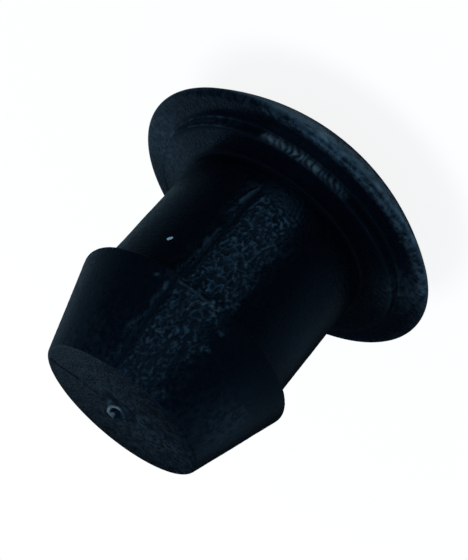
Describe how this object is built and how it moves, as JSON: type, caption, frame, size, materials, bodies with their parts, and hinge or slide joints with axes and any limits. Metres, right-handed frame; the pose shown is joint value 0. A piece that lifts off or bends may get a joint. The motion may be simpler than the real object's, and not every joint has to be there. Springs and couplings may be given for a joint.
{
  "type": "hole plug",
  "caption": "Snap-in round hole plug moulded in one piece: domed head with a raised seat, plain neck, tapered barb and flat nose with a gate mark.",
  "frame": {"origin": "centre of the seat plane, at the root of the neck; the seat is the raised land under the head that lies on the panel", "axes": "+Z along the plug's axis from the head to the nose, the way it is pushed in; the moulding seam lies in the YZ plane; the plug stands on its head"},
  "size_m": [0.016, 0.016, 0.0163],
  "materials": {
    "plug": "satin black, fine spark-eroded grain"
  },
  "bodies": {
    "root": {"hole_plug": "plug"}
  },
  "joints": []
}
